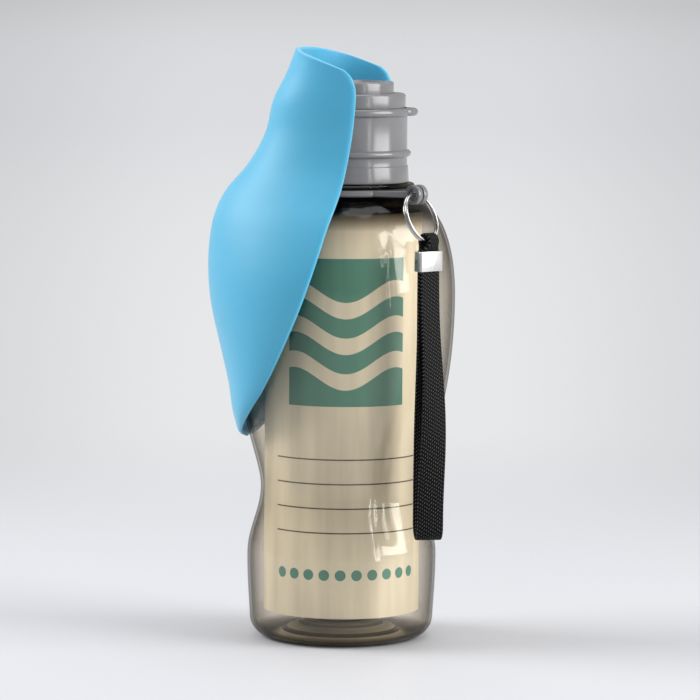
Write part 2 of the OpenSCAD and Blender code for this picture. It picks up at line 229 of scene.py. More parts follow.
def uneven(material, size, strength, depth):
    """Soft bumps of a size and a depth in mm, as moulding and handling leave in a surface."""
    place = node(material, "ShaderNodeTexCoord").outputs["Object"]
    noise = node(material, "ShaderNodeTexNoise", {"Vector": place, "Scale": 1 / (size * MM)})
    height = {"Height": noise, "Strength": strength, "Distance": depth * MM}
    return node(material, "ShaderNodeBump", height)


def clouded(material, first, second, size, detail):
    """Two close tones of one colour in soft clouds of a size in mm, as pigment mixes in a melt."""
    place = node(material, "ShaderNodeTexCoord").outputs["Object"]
    cloud = {"Vector": place, "Scale": 1 / (size * MM), "Detail": detail}
    cloud = node(material, "ShaderNodeTexNoise", cloud)
    tones = {"Factor": cloud, "A": linear(first), "B": linear(second)}
    return node(material, "ShaderNodeMix", tones, data_type="RGBA")


# %% Handing a piece over
def dress(piece, material, body, slot, *nodes):
    """Gives a piece its finish and its body, and stands it in for CAD nodes."""
    piece.data.materials.clear()
    piece.data.materials.append(material)
    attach(piece, body)
    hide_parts(*nodes)
    print(piece.name, len(piece.data.polygons), "faces")


# %% [markdown]
# ## Smoke PET
# The bottle is stretch-blown PET with a warm grey tint: glossy, clear and about a millimetre
# thick. Light goes straight through so thin a wall, so a tinted Transparent shader carries it, and
# a Glossy one adds the reflection, whose share grows toward the edge as it does on all clear
# plastics. Where the wall is seen edge-on, light crosses more of it and the tint deepens. The neck
# and the foot aren't stretched, so they stay thick and dark; the neck's tint is also painted
# shade, which darkens the inside seen through the shoulder. In the thick bottom a share of pale
# Diffuse, with the rings of its mould in darker lines, is painted light: it stands in for the
# light that the base gathers by refraction.

# %% Bottle tint
def wall_ranges(pet, height, radius):
    """How the wall changes over height and radius: from and to in mm, and the value at each end."""
    ranges = (
        (height, 4, 1, 0.0, 0.7),  # share of the foot's tint
        # The neck's tint is partly its thick wall and partly painted shade over the inside seen
        # through it.
        (height, 153, 161, 0.0, 0.9),  # share of the neck's tint
        (height, 30, 70, 4.4, 5.8),  # how narrow the dark line is at the edge
        (height, 7, 12, 0.08, 1.0),  # share of the tint that the slant adds, above the base
        (radius, 21, 26, 0.0, 1.0),  # the same, outside the base
        # The haze in the bottom is painted light, which stands in for the light that refraction
        # gathers there.
        (radius, 26, 22, 0.06, 0.6),  # share of haze in the bottom
    )
    made = []
    for value, start, end, first, last in ranges:
        sockets = {0: value, 1: start * MM, 2: end * MM, 3: first, 4: last}
        made.append(node(pet, "ShaderNodeMapRange", sockets))
    return made


def wall_tint(pet, grazing, foot, neck, narrow, above, outside):
    """The tint of one crossing, from nearly clear, with each deeper tone laid over the last."""
    slanted = node(pet, "ShaderNodeMath", {0: above, 1: outside}, operation="MAXIMUM")
    shares = []
    for power in (2.0, narrow):
        share = node(pet, "ShaderNodeMath", {0: grazing, 1: power}, operation="POWER")
        shares.append(node(pet, "ShaderNodeMath", {0: share, 1: slanted}, operation="MULTIPLY"))
    shares += [neck, foot]
    tint = linear("#faf8f4")
    # The third tone, the neck's, is partly painted shade.
    for code, share in zip(("#dfd9cf", "#2c2924", "#786f63", "#2e2a24"), shares):
        sockets = {"Factor": share, "A": tint, "B": linear(code)}
        tint = node(pet, "ShaderNodeMix", sockets, data_type="RGBA")
    return tint


# %% Bottle's painted light and gloss
PAINTED_LIGHT_TOP = 10
MOULD_RING, MOULD_LINE = 6, 1.8
WAVE_SIZE, WAVE_DEPTH, WAVE_DRAW = 11.1, 1, 0.15
MIRROR_EDGE, MIRROR_FACING = 0.4, 0.024


def bottom_painted_light(pet, radius):
    """Painted light, as refraction lights a thick base: pale, with a darker line at every mould ring.
    """
    fold = node(pet, "ShaderNodeMath", {0: radius, 1: MOULD_RING / 2 * MM}, operation="PINGPONG")
    line = (MOULD_RING - MOULD_LINE) / 2 * MM
    rings = node(pet, "ShaderNodeMath", {0: fold, 1: line}, operation="GREATER_THAN")
    tones = {"Factor": rings, "A": linear("#c4b79c"), "B": linear("#40392f")}
    colour = node(pet, "ShaderNodeMix", tones, data_type="RGBA")
    return node(pet, "ShaderNodeBsdfDiffuse", {"Color": colour})


def blown_gloss(pet, place):
    """A polished skin. Its waves are long upright ones, as stretching draws them."""
    drawn = {0: place, 1: (1, 1, WAVE_DRAW)}
    drawn = node(pet, "ShaderNodeVectorMath", drawn, operation="MULTIPLY")
    waves = {"Vector": drawn, "Scale": 1 / (WAVE_SIZE * MM), "Detail": 2.0}
    waves = node(pet, "ShaderNodeTexNoise", waves)
    bump = {"Height": waves, "Strength": 1.0, "Distance": WAVE_DEPTH * MM}
    bump = node(pet, "ShaderNodeBump", bump)
    polish = {"Color": (1, 1, 1, 1), "Roughness": 0.05, "Normal": bump}
    return node(pet, "ShaderNodeBsdfGlossy", polish)


# %% Bottle material
def smoke_pet():
    """A clear tinted wall with painted light in its bottom, under a polished skin."""
    pet = new_material("smoke_pet_blown")
    place = node(pet, "ShaderNodeTexCoord").outputs["Object"]
    height = node(pet, "ShaderNodeSeparateXYZ", {0: place}).outputs["Z"]
    flat = node(pet, "ShaderNodeVectorMath", {0: place, 1: (1, 1, 0)}, operation="MULTIPLY")
    radius = node(pet, "ShaderNodeVectorMath", {0: flat}, operation="LENGTH")
    grazing = node(pet, "ShaderNodeLayerWeight", {"Blend": 0.5}).outputs["Facing"]

    *tinting, painted_light_share = wall_ranges(pet, height, radius)
    clear = node(pet, "ShaderNodeBsdfTransparent", {"Color": wall_tint(pet, grazing, *tinting)})
    # Painted light low in the bottle: a share of pale Diffuse below the haze's top.
    low = node(pet, "ShaderNodeMath", {0: height, 1: PAINTED_LIGHT_TOP * MM}, operation="LESS_THAN")
    painted_light_share = node(pet, "ShaderNodeMath", {0: painted_light_share, 1: low}, operation="MULTIPLY")
    body = node(pet, "ShaderNodeMixShader", {0: painted_light_share, 1: clear, 2: bottom_painted_light(pet, radius)})

    edge = node(pet, "ShaderNodeMath", {0: grazing, 1: 5.0}, operation="POWER")
    mirror = {0: edge, 1: MIRROR_EDGE, 2: MIRROR_FACING}
    mirror = node(pet, "ShaderNodeMath", mirror, operation="MULTIPLY_ADD")
    sockets = {0: mirror, 1: body, 2: blown_gloss(pet, place)}
    return show(pet, node(pet, "ShaderNodeMixShader", sockets))


# %% [markdown]
# ## The bottle
# A squeezable hourglass: a flat foot ring round a hollow base, a lower lobe, a waist for the hand
# and a wider upper lobe that rounds over to the neck. Smooth curves run between those stations,
# and the inner wall follows a millimetre inside.

# %% Curves
def stretch(a, da, b, db, steps):
    """
    Points of a smooth curve that leaves a along da and reaches b along db. The longer one of
    these two is, the farther the curve holds its way at that end.
    """
    p = [Vector(a), Vector(a) + Vector(da), Vector(b) - Vector(db), Vector(b)]
    points = []
    for i in range(1, steps + 1):
        t = i / steps
        u = 1 - t
        points.append(u**3 * p[0] + 3 * u * u * t * p[1] + 3 * u * t * t * p[2] + t**3 * p[3])
    return points


def quarter(centre, r, start, end, steps):
    """Points of an arc between two angles in degrees."""
    angles = [math.radians(start + (end - start) * i / steps) for i in range(steps + 1)]
    return [Vector(centre) + r * Vector((math.cos(a), math.sin(a))) for a in angles]


def inward(points, depth):
    """The same line moved inward along its normals."""
    moved = []
    for i, p in enumerate(points):
        along = (points[min(i + 1, len(points) - 1)] - points[max(i - 1, 0)]).normalized()
        moved.append(p + depth * Vector((-along.y, along.x)))
    return moved


# %% Bottle
FOOT_R, BASE_ROUND, PUNT_H, WALL = 26, 8, 6, 1
LOWER_LOBE, WAIST, UPPER_LOBE = (35, 31), (30.1, 56), (41.3, 127)
NECK_R, NECK_IN_R, SHOULDER_Z, NECK_TOP = 21, 19.4, 164.3, 187
NECK_ROOT = 1.6
BEAD_R, BEAD_Z, BEAD_H, BEAD_EDGE = 25.9, 167.4, 1.4, 0.5


def bottle_side():
    """The outer side from the foot to the neck. Each stretch leaves one station for the next."""
    base_side = FOOT_R + BASE_ROUND
    return (
        quarter((FOOT_R, BASE_ROUND), BASE_ROUND, -90, 0, 12)
        + stretch((base_side, BASE_ROUND), (0.4, 8), LOWER_LOBE, (0, 9), 14)
        + stretch(LOWER_LOBE, (0, 9), WAIST, (0, 9), 16)
        + stretch(WAIST, (0, 11), UPPER_LOBE, (0, 42), 30)
        + stretch(UPPER_LOBE, (0, 19), (NECK_R, SHOULDER_Z), (-15, 0.4), 30)
    )


def bottle_section():
    """Round the wall: hollow underside, outer side, neck bead, neck, and back down inside."""
    side = [tuple(p) for p in bottle_side()]
    inner = [tuple(p) for p in inward(bottle_side(), WALL) if p.x > NECK_IN_R and p.y > WALL]
    top, edge = BEAD_Z + BEAD_H, BEAD_R - BEAD_EDGE
    bead = [(NECK_R, BEAD_Z), (edge, BEAD_Z), (BEAD_R, BEAD_Z + BEAD_EDGE)]
    bead += [(BEAD_R, top - BEAD_EDGE), (edge, top), (NECK_R, top)]
    neck = [(NECK_R, NECK_TOP), (NECK_IN_R, NECK_TOP), (NECK_IN_R, SHOULDER_Z - NECK_ROOT)]
    dips = ((0, 0), (8, 0.4), (9, 1.1), (10, 0.6), (15.5, 1.6), (16.5, 2.6), (17.5, 2.4))
    under = [(r, PUNT_H - dip) for r, dip in dips] + [(21, 2.2), (23.5, 0)]
    floor = [(r, z + WALL) for r, z in reversed(under)]
    return under + side + bead + neck + inner[::-1] + floor


bottle = turned("bottle_shell", bottle_section(), steps=160)
dress(bottle, smoke_pet(), "bottle", "smoke_pet", "bottle_body")

# %% [markdown]
# ## Printed card
# A coated card is rolled and let spring open inside the bottle, where the waist holds it. It is a
# flat sheet bent to a tube, so a grid is wrapped round, with its ends a little apart at the back.
# Its print is a plain pattern: a teal panel crossed by pale waves, thin rules and a few dots. It
# follows the sheet, so it is laid out on the sheet's own UV map in millimetres.

# %% Layout of the print
# All in mm: x round the sheet and y up it.
PAPER, TEAL, INK = "#e4dcc8", "#4a8879", "#4d483e"
PANEL_X, PANEL_Y = (66, 112), (78, 132)
WAVE_BANDS, WAVE_LENGTH, WAVE_SWING = ((88, 94), (101, 107), (114, 120)), 39.3, 4.0
TEXT_X, RULES_Y, RULE_STEP, RULE_W = (60, 120), (30, 66), 9, 0.5
DOT_STEP, DOT_Y, DOT_R = 12, 16, 2
STREAK_W, STREAK_L = 9.1, 83.3


def band(card, value, low, high):
    """1 between two distances in mm along the sheet, 0 outside."""
    above = node(card, "ShaderNodeMath", {0: value, 1: low}, operation="GREATER_THAN")
    below = node(card, "ShaderNodeMath", {0: value, 1: high}, operation="LESS_THAN")
    return node(card, "ShaderNodeMath", {0: above, 1: below}, operation="MULTIPLY")


def panel_and_waves(card, x, y):
    """The place of the panel, and of the waves that cross it."""
    sides = {0: band(card, x, *PANEL_X), 1: band(card, y, *PANEL_Y)}
    panel = node(card, "ShaderNodeMath", sides, operation="MULTIPLY")
    swing = node(card, "ShaderNodeMath", {0: x, 1: math.tau / WAVE_LENGTH}, operation="MULTIPLY")
    swing = node(card, "ShaderNodeMath", {0: swing}, operation="SINE")
    wavy = {0: swing, 1: WAVE_SWING, 2: y}
    wavy = node(card, "ShaderNodeMath", wavy, operation="MULTIPLY_ADD")
    waves = 0.0
    for limits in WAVE_BANDS:
        either = {0: waves, 1: band(card, wavy, *limits)}
        waves = node(card, "ShaderNodeMath", either, operation="MAXIMUM")
    return panel, node(card, "ShaderNodeMath", {0: panel, 1: waves}, operation="MULTIPLY")


def rule_lines(card, x, y):
    """Thin lines at even steps: the peaks of a value that folds up and down over the height."""
    fold = node(card, "ShaderNodeMath", {0: y, 1: RULE_STEP / 2}, operation="PINGPONG")
    peak = {0: fold, 1: (RULE_STEP - RULE_W) / 2}
    lines = node(card, "ShaderNodeMath", peak, operation="GREATER_THAN")
    for limits in (band(card, x, *TEXT_X), band(card, y, *RULES_Y)):
        lines = node(card, "ShaderNodeMath", {0: lines, 1: limits}, operation="MULTIPLY")
    return lines


def dot_row(card, x, y):
    """Dots at even steps: what lies close to the middle of each step."""
    fold = node(card, "ShaderNodeMath", {0: x, 1: DOT_STEP / 2}, operation="PINGPONG")
    aside = node(card, "ShaderNodeMath", {0: fold, 1: DOT_STEP / 4}, operation="SUBTRACT")
    above = node(card, "ShaderNodeMath", {0: y, 1: DOT_Y}, operation="SUBTRACT")
    offset = node(card, "ShaderNodeCombineXYZ", {0: aside, 1: above})
    away = node(card, "ShaderNodeVectorMath", {0: offset}, operation="LENGTH")
    dots = node(card, "ShaderNodeMath", {0: away, 1: DOT_R}, operation="LESS_THAN")
    limits = {0: dots, 1: band(card, x, *TEXT_X)}
    return node(card, "ShaderNodeMath", limits, operation="MULTIPLY")


# %% Card material
def card_print():
    """Coated board: flat colours, half matte, with faint painted light and shade in streaks down the
    sheet.
    """
    card = new_material("card_coated_print")
    uv = node(card, "ShaderNodeUVMap", uv_map="UVMap")
    sheet = node(card, "ShaderNodeSeparateXYZ", {0: uv})
    x, y = sheet.outputs["X"], sheet.outputs["Y"]
    panel, waves = panel_and_waves(card, x, y)
    rules, dots = rule_lines(card, x, y), dot_row(card, x, y)
    colour = linear(PAPER)
    for code, share in ((TEAL, panel), (PAPER, waves), (INK, rules), (TEAL, dots)):
        printed = {"Factor": share, "A": colour, "B": linear(code)}
        colour = node(card, "ShaderNodeMix", printed, data_type="RGBA")
    # Painted light and shade: faint lighter and darker streaks down the sheet, as a rolled card that
    # isn't quite flat catches the light.
    drawn = {0: uv, 1: (1 / STREAK_W, 1 / STREAK_L, 1)}
    drawn = node(card, "ShaderNodeVectorMath", drawn, operation="MULTIPLY")
    painted_light_streaks = node(card, "ShaderNodeTexNoise", {"Vector": drawn, "Scale": 1.0, "Detail": 3.0})
    tone = node(card, "ShaderNodeMapRange", {0: painted_light_streaks, 1: 0.3, 2: 0.7, 3: 0.8, 4: 1.12})
    toned = {"Factor": 1.0, "A": colour, "B": tone}
    toned = node(card, "ShaderNodeMix", toned, data_type="RGBA", blend_type="MULTIPLY")
    surface = {"Base Color": toned, "Roughness": 0.45}
    return show(card, node(card, "ShaderNodeBsdfPrincipled", surface))


# %% Card
CARD_R, CARD_LOW, CARD_H, CARD_T = 28.8, 10.5, 148, 0.4
CARD_START, CARD_WRAP = math.radians(95), math.radians(350)


def card_roll():
    start_piece()
    bpy.ops.mesh.primitive_grid_add(x_subdivisions=150, y_subdivisions=20, size=2)
    piece = named("card_roll")
    middle_r = CARD_R - CARD_T / 2
    length = CARD_WRAP * middle_r
    uv = piece.data.uv_layers["UVMap"].data
    spots = [((v.co.x + 1) / 2, (v.co.y + 1) / 2) for v in piece.data.vertices]
    for loop in piece.data.loops:
        share, rise = spots[loop.vertex_index]
        uv[loop.index].uv = (share * length, rise * CARD_H)
    for vertex, (share, rise) in zip(piece.data.vertices, spots):
        angle = CARD_START + share * CARD_WRAP
        x, y = middle_r * math.cos(angle), middle_r * math.sin(angle)
        vertex.co = Vector((x, y, CARD_LOW + rise * CARD_H)) * MM
    finish_with(piece, "card thickness", "SOLIDIFY", thickness=CARD_T * MM, offset=0)
    print("card, flat size in mm:", round(length, 1), "x", CARD_H)
    return smooth(piece)


dress(card_roll(), card_print(), "bottle", "card", "info_card")

# %% [markdown]
# ## Silicone leaf
# The drinking bowl is a soft moulded leaf: half a tube at the cap, opening into a wide cupped
# blade that ends in a blunt tip. It is made as a grid whose rows are half ellipses, each with its
# own width, depth and squareness. Solidify gives the wall, and Subdivision rolls the rim.

# %% Leaf stations
# Each station: height at the back, height at the rim, depth of the back, place of the rim, half
# width and squareness of the section, with the leaf's opening toward +X before it is turned.
LEAF_STATIONS = [
    (73.4, 73.4, 37.0, -35.4, 3.0, 2.0),
    (76.0, 76.0, 37.9, -34.5, 14.5, 2.0),
    (80.0, 80.0, 38.9, -31.7, 21.5, 2.0),
    (86.0, 86.0, 40.1, -26.6, 30.0, 2.0),
    (95.0, 95.0, 41.6, -19.8, 36.4, 2.0),
    (107.0, 107.0, 44.8, -12.9, 41.0, 2.0),
    (124.0, 124.0, 49.2, -4.7, 44.6, 2.0),
    (139.5, 139.5, 50.6, 0.8, 44.3, 2.0),
    (154.5, 154.5, 49.0, 4.6, 40.0, 2.1),
    (165.5, 165.5, 44.0, 7.2, 33.8, 2.3),
    (175.0, 175.0, 35.6, 8.6, 29.5, 2.5),
    (187.0, 187.0, 28.6, 10.2, 27.5, 2.6),
    (199.0, 198.0, 25.6, 11.3, 27.4, 2.7),
    (208.6, 204.0, 20.6, 11.2, 27.4, 2.7),
    (215.2, 208.2, 17.8, 9.6, 27.4, 2.7),
    (218.7, 210.7, 16.4, 7.0, 27.4, 2.7),
]
LEAF_WALL, LEAF_TURN = 1.8, math.radians(-15)
LEAF_ROWS, LEAF_COLUMNS = 64, 56


def station_at(place):
    """A station between the given ones, by a Catmull-Rom curve through them."""
    i = min(int(place), len(LEAF_STATIONS) - 2)
    t = place - i
    ends = [LEAF_STATIONS[min(max(i + k, 0), len(LEAF_STATIONS) - 1)] for k in (-1, 0, 1, 2)]
    station = []
    for a, b, c, d in zip(*ends):
        rising = (c - a) * t
        bending = (2 * a - 5 * b + 4 * c - d) * t**2
        easing = (3 * b - a - 3 * c + d) * t**3
        station.append(0.5 * (2 * b + rising + bending + easing))
    return station


def leaf_point(place, turn):
    """A point of the leaf's outer side. Turn runs from one rim, over the back, to the other."""
    z_back, z_rim, back, rim, half, power = station_at(place)
    deep = abs(math.cos(turn)) ** (2 / power)
    wide = math.copysign(abs(math.sin(turn)) ** (2 / power), turn)
    x, y = rim - (rim + back) * deep, half * wide
    return Vector((x, y, z_rim + (z_back - z_rim) * deep)) * MM


# %% Leaf
def drinking_leaf():
    start_piece()
    bpy.ops.mesh.primitive_grid_add(x_subdivisions=LEAF_COLUMNS, y_subdivisions=LEAF_ROWS, size=2)
    piece = named("drinking_leaf")
    top = len(LEAF_STATIONS) - 1
    for vertex in piece.data.vertices:
        turn = -vertex.co.x * math.pi / 2
        vertex.co = leaf_point((vertex.co.y + 1) / 2 * top, turn)
    finish_with(piece, "silicone wall", "SOLIDIFY", thickness=LEAF_WALL * MM, offset=-1)
    finish_with(piece, "rolled rim", "SUBSURF", levels=1, render_levels=1)
    settle(piece, Matrix.Rotation(LEAF_TURN, 4, "Z"))
    return smooth(piece, degrees=60)


# %% Leaf material
def leaf_silicone():
    """
    Moulded silicone: a soft bloom rather than a shine, and light goes a few millimetres into it.
    Its grain is finer than a render shows, so it is drawn at 0.4 mm.
    """
    silicone = new_material("silicone_moulded_matte")
    surface = {
        "Base Color": clouded(silicone, "#47a7cb", "#4faed1", size=16.7, detail=3.0),
        "Roughness": 0.48,
        "IOR": 1.41,
        "Normal": uneven(silicone, size=0.4, strength=0.08, depth=0.2),
        "Sheen Weight": 0.25,
        "Sheen Roughness": 0.5,
        "Subsurface Weight": 0.15,
        "Subsurface Radius": (2 * MM, 4 * MM, 6 * MM),
        "Subsurface Scale": 1.0,
    }
    return show(silicone, node(silicone, "ShaderNodeBsdfPrincipled", surface))


dress(drinking_leaf(), leaf_silicone(), "leaf", "leaf_silicone", "leaf_bowl")

# %% [markdown]
# ## Grey ABS
# The cap is injection-moulded ABS with a polished tool: an even mid grey, glossy, with faint
# unevenness that wobbles a reflection. The knob, the cover, the cap and the strap ring share it.

# %% Cap material
def grey_abs():
    """Polished mould, polished part: clear highlights that waver a little with the sinks in it."""
    plastic = new_material("abs_moulded_grey")
    surface = {
        "Base Color": clouded(plastic, "#717172", "#79797a", size=11.1, detail=2.0),
        "Roughness": 0.17,
        "IOR": 1.53,
        "Normal": uneven(plastic, size=4.55, strength=0.1, depth=0.4),
    }
    return show(plastic, node(plastic, "ShaderNodeBsdfPrincipled", surface))


ABS = grey_abs()
print(ABS.name, len(ABS.node_tree.nodes), "nodes")

# %% [markdown]
# ## Cap
# The cap screws over the neck: a stepped skirt, a plain tube with one round grip bead, and a round
# flange that carries a thumb tab. Bead, flange and tab have full-round edges. One spun section
# gives the cap, and the tab is a short turned disc set into the flange.

# %% Cap
CAP_Z, TUBE_R, SKIRT_R, SKIRT_TOP = 169.0, 23.1, 23.8, 175.2
GRIP_R, GRIP_LOW, GRIP_TOP = 24.5, 178.5, 181.0
FLANGE_R, FLANGE_LOW, FLANGE_TOP = 24.4, 193.5, 196.4
MOUTH_R, BORE_R, CHAMBER_R = 21.6, 21.4, 20.4
DECK_LOW, DECK_TOP, DECK_HOLE_R = 189.0, 191.5, 6
TAB_X, TAB_R, TAB_CUT = 18, 9, 2


def cap_section():
    grip_round = full_round(GRIP_LOW, GRIP_TOP)
    flange_round = full_round(FLANGE_LOW, FLANGE_TOP)
    return rounded(
        [
            (MOUTH_R, CAP_Z, 0.2),
            (SKIRT_R, CAP_Z, 0.6),
            (SKIRT_R - 0.35, SKIRT_TOP, 0.4),
            (TUBE_R, SKIRT_TOP + 0.1, 0.1),
            (TUBE_R, GRIP_LOW, 0.25),
            (GRIP_R, GRIP_LOW, grip_round),
            (GRIP_R, GRIP_TOP, grip_round),
            (TUBE_R, GRIP_TOP, 0.25),
            (TUBE_R, FLANGE_LOW, 0.25),
            (FLANGE_R, FLANGE_LOW, flange_round * 0.8),
            (FLANGE_R, FLANGE_TOP, flange_round),
            (CHAMBER_R, FLANGE_TOP, 0.2),
            (CHAMBER_R, DECK_TOP, 0.4),
            (DECK_HOLE_R, DECK_TOP, 0.2),
            (DECK_HOLE_R, DECK_LOW, 0.2),
            (BORE_R, DECK_LOW, 0.2),
        ]
    )


def thumb_tab():
    """A round disc cut off straight, so that its flat side sinks into the flange."""
    edge = full_round(FLANGE_LOW, FLANGE_TOP)
    lower = [(0, FLANGE_LOW, 0), (TAB_R, FLANGE_LOW, edge)]
    upper = [(TAB_R, FLANGE_TOP, edge), (0, FLANGE_TOP, 0)]
    tab = turned("thumb_tab", rounded(lower + upper), steps=64)
    cut_at = (TAB_CUT * MM, 0, 0)
    open_mesh()
    bpy.ops.mesh.bisect(plane_co=cut_at, plane_no=(1, 0, 0), clear_inner=True, use_fill=True)
    close_mesh()
    return settle(tab, Matrix.Translation((TAB_X * MM, 0, 0)))


cap = joined(turned("cap_shell", cap_section()), thumb_tab())
dress(cap, ABS, "cap", "grey_abs", "cap_body")

# %% [markdown]
# ## Cover and knob
# The cover closes the cap and carries the two pins that the leaf swings on. A low knob turns in
# a shallow recess on top and opens the valve; the water comes out of the hole at its middle.

# %% Cover and knob
COVER_R, COVER_LOW, COVER_TOP = 22.4, 196.4, 201.8
RECESS_R, RECESS_Z = 18.3, 201.0
COVER_IN_R, CEILING_Z, STEM_HOLE_R = 19, 199.2, 4.3
KNOB_R, KNOB_LOW, KNOB_TOP = 18, 201.2, 206.1
DISH_EDGE, DISH_FLOOR, DISH_DEPTH = 3.2, 4.2, 0.8
STEM_R, STEM_H, WAY_R = 4.0, 2, 2.2
PIN_R, PIN_REACH, PIN_Z, PIN_EDGE = 1.4, 24.7, 199.1, 0.2


def cover_section():
    return rounded(
        [
            (COVER_IN_R, COVER_LOW, 0.2),
            (COVER_R, COVER_LOW, 0.3),
            (COVER_R, COVER_TOP, 1.2),
            (RECESS_R, COVER_TOP, 0.3),
            (RECESS_R, RECESS_Z, 0.1),
            (STEM_HOLE_R, RECESS_Z, 0.1),
            (STEM_HOLE_R, CEILING_Z, 0.1),
            (COVER_IN_R, CEILING_Z, 0.3),
        ]
    )


def knob_section():
    dish, stem_top = KNOB_TOP - DISH_DEPTH, KNOB_LOW + STEM_H
    return rounded(
        [
            (STEM_R, KNOB_LOW, 0.2),
            (KNOB_R, KNOB_LOW, 0.3),
            (KNOB_R, KNOB_TOP, 1.0),
            (KNOB_R - DISH_EDGE, KNOB_TOP, 0.8),
            (KNOB_R - DISH_FLOOR, dish, 0.6),
            (WAY_R, dish, 0.5),
            (WAY_R, stem_top, 0.1),
            (STEM_R, stem_top, 0.1),
        ]
    )


def pivot_pin():
    start_piece()
    bpy.ops.mesh.primitive_cylinder_add(vertices=32, radius=PIN_R * MM, depth=2 * PIN_REACH * MM)
    pin = named("pivot_pin")
    open_mesh()
    bpy.ops.mesh.bevel(offset=PIN_EDGE * MM, segments=2)
    close_mesh()
    lying = Matrix.Rotation(LEAF_TURN, 4, "Z") @ Matrix.Rotation(math.radians(90), 4, "X")
    return smooth(settle(pin, Matrix.Translation((0, 0, PIN_Z * MM)) @ lying))


cover = joined(turned("cap_top", cover_section()), pivot_pin())
dress(cover, ABS, "cap", "grey_abs", "cap_cover")
knob = turned("twist_knob", knob_section())
dress(knob, ABS, "valve", "grey_abs", "valve_knob")

# %% [markdown]
# ## Strap ring
# A loose flat ring lies on the shoulder under the cap. It flares out to a lug: a short barrel with
# a groove round its middle and an eye through it, which the split ring hangs in.

# %% Strap ring
RING_R, RING_IN_R, RING_LOW, RING_TOP = 26, 21.3, 164.6, 167.1
RING_EDGE, RING_IN_EDGE = 0.9, 0.3
FLARE_ROOT, FLARE_EDGE = 2, 0.7
LUG_TURN, LUG_REACH, LUG_R, LUG_L, EYE_R = math.radians(-44), 36.5, 3.6, 5.0, 2.1
GROOVE, GROOVE_DEPTH, LUG_EDGE = 0.4, 0.6, 0.35
LUG_OUT = Vector((LUG_REACH, 0, (RING_LOW + RING_TOP) / 2)) * MM
LUG_PLACE = Matrix.Rotation(LUG_TURN, 4, "Z") @ Matrix.Translation(LUG_OUT)


def ring_band():
    corners = [(RING_IN_R, RING_LOW, RING_IN_EDGE), (RING_R, RING_LOW, RING_EDGE)]
    corners += [(RING_R, RING_TOP, RING_EDGE), (RING_IN_R, RING_TOP, RING_IN_EDGE)]
    return turned("strap_ring_band", rounded(corners))


def ring_flare():
    """The web from ring to lug: a cube drawn out to a wedge."""
    start_piece()
    bpy.ops.mesh.primitive_cube_add(size=1)
    flare = named("ring_flare")
    thick = RING_TOP - RING_LOW - 0.1
    for vertex in flare.data.vertices:
        outer = vertex.co.x > 0
        x = -LUG_R / 2 if outer else RING_R - LUG_REACH - FLARE_ROOT
        half_w = LUG_L / 2 if outer else 2 * LUG_L
        corner = (x, math.copysign(half_w, vertex.co.y), vertex.co.z * thick)
        vertex.co = Vector(corner) * MM
    open_mesh()
    bpy.ops.mesh.bevel(offset=FLARE_EDGE * MM, segments=4)
    close_mesh()
    return smooth(settle(flare, LUG_PLACE))


def lug_barrel():
    """The eye from one end to the middle of the groove, and the same again mirrored."""
    lower = [
        (EYE_R, -LUG_L / 2, LUG_EDGE),
        (LUG_R, -LUG_L / 2, LUG_EDGE),
        (LUG_R, -GROOVE, 0.15),
        (LUG_R - GROOVE_DEPTH, -GROOVE, 0.1),
    ]
    upper = [(r, -z, edge) for r, z, edge in reversed(lower)]
    barrel = turned("lug_barrel", rounded(lower + upper), steps=48)
    return settle(barrel, LUG_PLACE @ Matrix.Rotation(math.radians(90), 4, "X"))


ring = joined(ring_band(), ring_flare(), lug_barrel())
dress(ring, ABS, "neck_ring", "grey_abs", "strap_ring")

# %% [markdown]
# ## Split ring
# Two touching turns of round spring steel, bright nickel-plated. Seen from outside they are two
# rings that lie on each other, so the wire's round section is spun once on each side of the
# middle, a hair closer than a wire's width so that no light shows between the turns.

# %% Split ring
SPLIT_R, WIRE_R, SEAT = 9.5, 0.5, 0.05
WIRE_POINTS, TOUCH = 16, 0.98
SCUFF, WEAR = 1.11, 0.3
LEAN, TURN, ROLL = math.radians(22), math.radians(10), math.radians(12)
SPLIT_MID = SPLIT_R - WIRE_R
SPLIT_SIDE, SPLIT_DOWN = SPLIT_MID * math.sin(ROLL), SEAT + SPLIT_MID * math.cos(ROLL)
HANG = LUG_PLACE @ Matrix.Rotation(TURN, 4, "Z") @ Matrix.Rotation(-LEAN, 4, "Y")


def bright_steel(name, colour, roughness):
    """
    Nickel-plated steel: a bright, nearly neutral mirror, duller where it has been handled. The
    scuffs are finer than a render shows, so they are drawn at about a millimetre.
    """
    steel = new_material(name)
    place = node(steel, "ShaderNodeTexCoord").outputs["Object"]
    scuffs = {"Vector": place, "Scale": 1 / (SCUFF * MM), "Detail": 4.0}
    scuffs = node(steel, "ShaderNodeTexNoise", scuffs)
    worn = {0: scuffs, 3: roughness * (1 - WEAR), 4: roughness * (1 + WEAR)}
    worn = node(steel, "ShaderNodeMapRange", worn)
    surface = {"Base Color": linear(colour), "Metallic": 1.0, "Roughness": worn}
    return show(steel, node(steel, "ShaderNodeBsdfPrincipled", surface))


def split_ring():
    """Two turned rings, half a wire's width on each side of the middle."""
    angles = [math.tau * k / WIRE_POINTS for k in range(WIRE_POINTS)]
    coils = []
    for side in (-1, 1):
        height = side * WIRE_R * TOUCH
        arc = [(WIRE_R * math.cos(a), WIRE_R * math.sin(a)) for a in angles]
        section = [(SPLIT_MID + x, height + z) for x, z in arc]
        coils.append(turned("split_ring_wire", section, steps=96))
    wire = joined(*coils)
    centre = Matrix.Translation(Vector((0, -SPLIT_SIDE, -SPLIT_DOWN)) * MM)
    return settle(wire, HANG @ centre @ Matrix.Rotation(math.radians(90), 4, "Y"))


wire_steel = bright_steel("steel_wire_nickel", "#bdbcb9", 0.2)
dress(split_ring(), wire_steel, "split_ring", "steel_wire", "split_ring")

